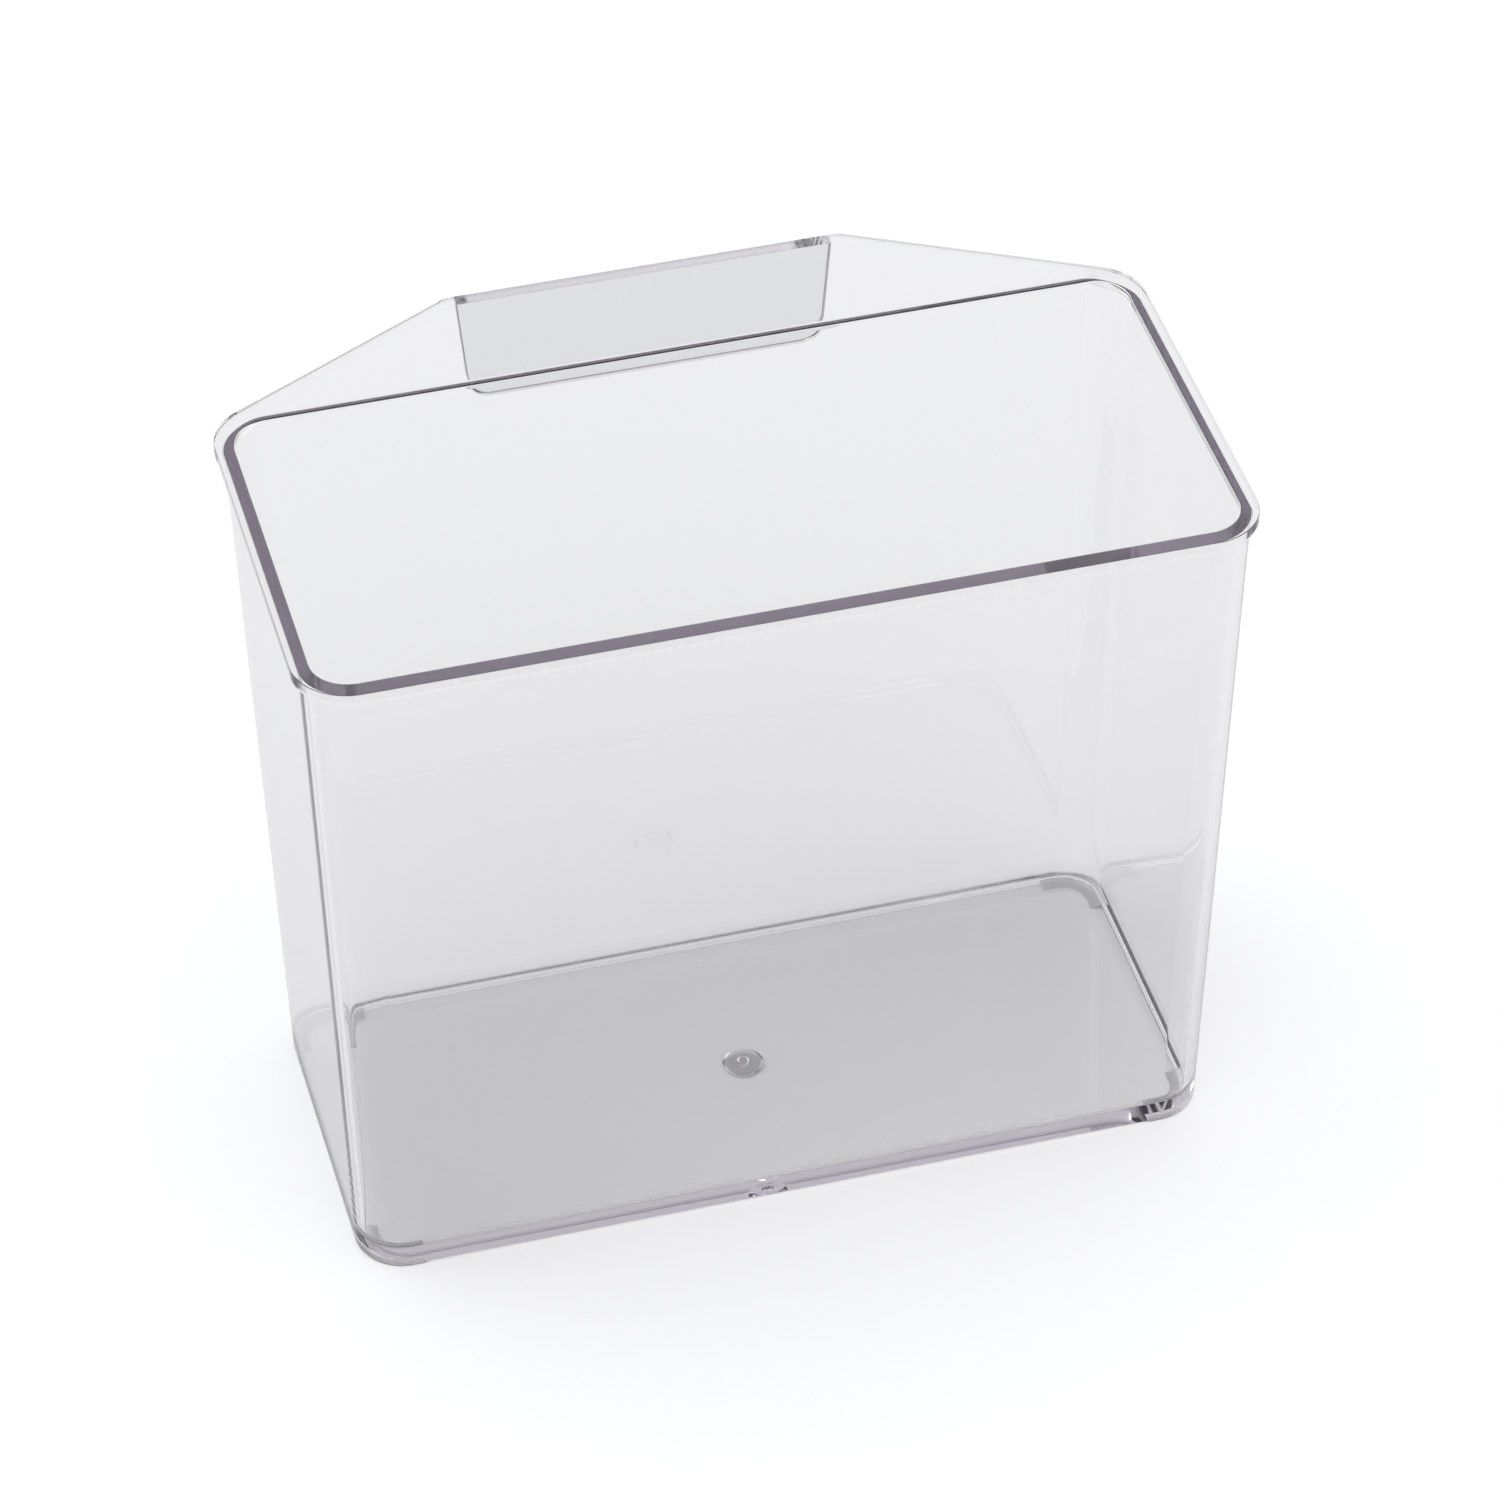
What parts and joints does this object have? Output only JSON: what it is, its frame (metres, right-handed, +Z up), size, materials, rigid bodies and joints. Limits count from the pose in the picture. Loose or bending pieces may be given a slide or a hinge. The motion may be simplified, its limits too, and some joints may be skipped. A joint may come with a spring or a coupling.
{
  "type": "fish specimen container",
  "caption": "Clear open-topped hang-on specimen container: drafted rectangular tub with a lip round its mouth, a level hanger shelf with a flap behind, and a low pad foot under each corner.",
  "frame": {"origin": "on the ground plane under the middle of the whole outline, hanger included", "axes": "+X to the right seen from the front, +Y to the back where the hanger is, +Z up"},
  "size_m": [0.19, 0.117, 0.156],
  "materials": {
    "clear_plastic": "crystal-clear polished moulded polystyrene with a faint violet-grey cast in its edges"
  },
  "bodies": {
    "root": {"tub_floor": "clear_plastic", "tub_walls": "clear_plastic", "rim_lip": "clear_plastic", "hanger_shelf": "clear_plastic", "hanger_flap": "clear_plastic", "foot_rear_right": "clear_plastic", "foot_rear_left": "clear_plastic", "foot_front_left": "clear_plastic", "foot_front_right": "clear_plastic", "gate_mark": "clear_plastic"}
  },
  "joints": []
}
